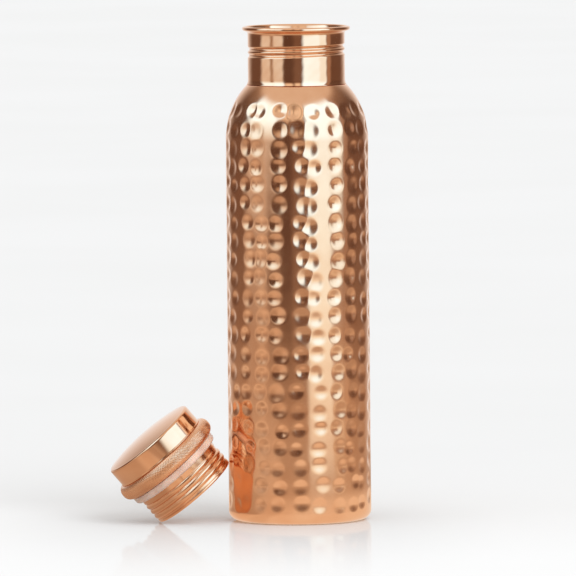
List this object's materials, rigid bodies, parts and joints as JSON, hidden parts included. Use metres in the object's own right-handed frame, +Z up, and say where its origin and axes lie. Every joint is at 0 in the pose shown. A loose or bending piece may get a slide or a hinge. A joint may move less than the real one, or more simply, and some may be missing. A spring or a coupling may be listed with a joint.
{
  "type": "water bottle",
  "caption": "Tall hammered copper water bottle with a rolled thread in its neck, and a knurled screw lid with a silicone gasket, off and leaning on its side.",
  "frame": {"origin": "centre of the flat face under the bottle, on its axis", "axes": "+Z up the bottle's axis towards the mouth; the lid leans on the -X side"},
  "size_m": [0.1349, 0.0753, 0.256],
  "materials": {
    "hammered_copper": null,
    "polished_copper": null,
    "knurled_copper": null,
    "silicone": "translucent pale silicone rubber, satin"
  },
  "bodies": {
    "bottle": {"body_shell": "hammered_copper", "base_disc": "hammered_copper", "neck": "polished_copper"},
    "gasket": {"gasket_ring": "silicone"},
    "lid": {"threaded_plug": "polished_copper", "grip_collar": "knurled_copper", "lid_crown": "polished_copper"}
  },
  "joints": [
    {"name": "lid_carry", "type": "hinge", "parent": "bottle", "child": "gasket", "pos_m": [0.47381, 0.06238, 0.12686], "axis": [-0.1305, 0.9914, 0], "range_deg": [0, 40.5]},
    {"name": "lid_turn", "type": "hinge", "parent": "gasket", "child": "lid", "pos_m": [-0.05462, -0.00719, 0.01506], "axis": [-0.6439, -0.0848, 0.7604], "range_deg": [0, 650]}
  ]
}
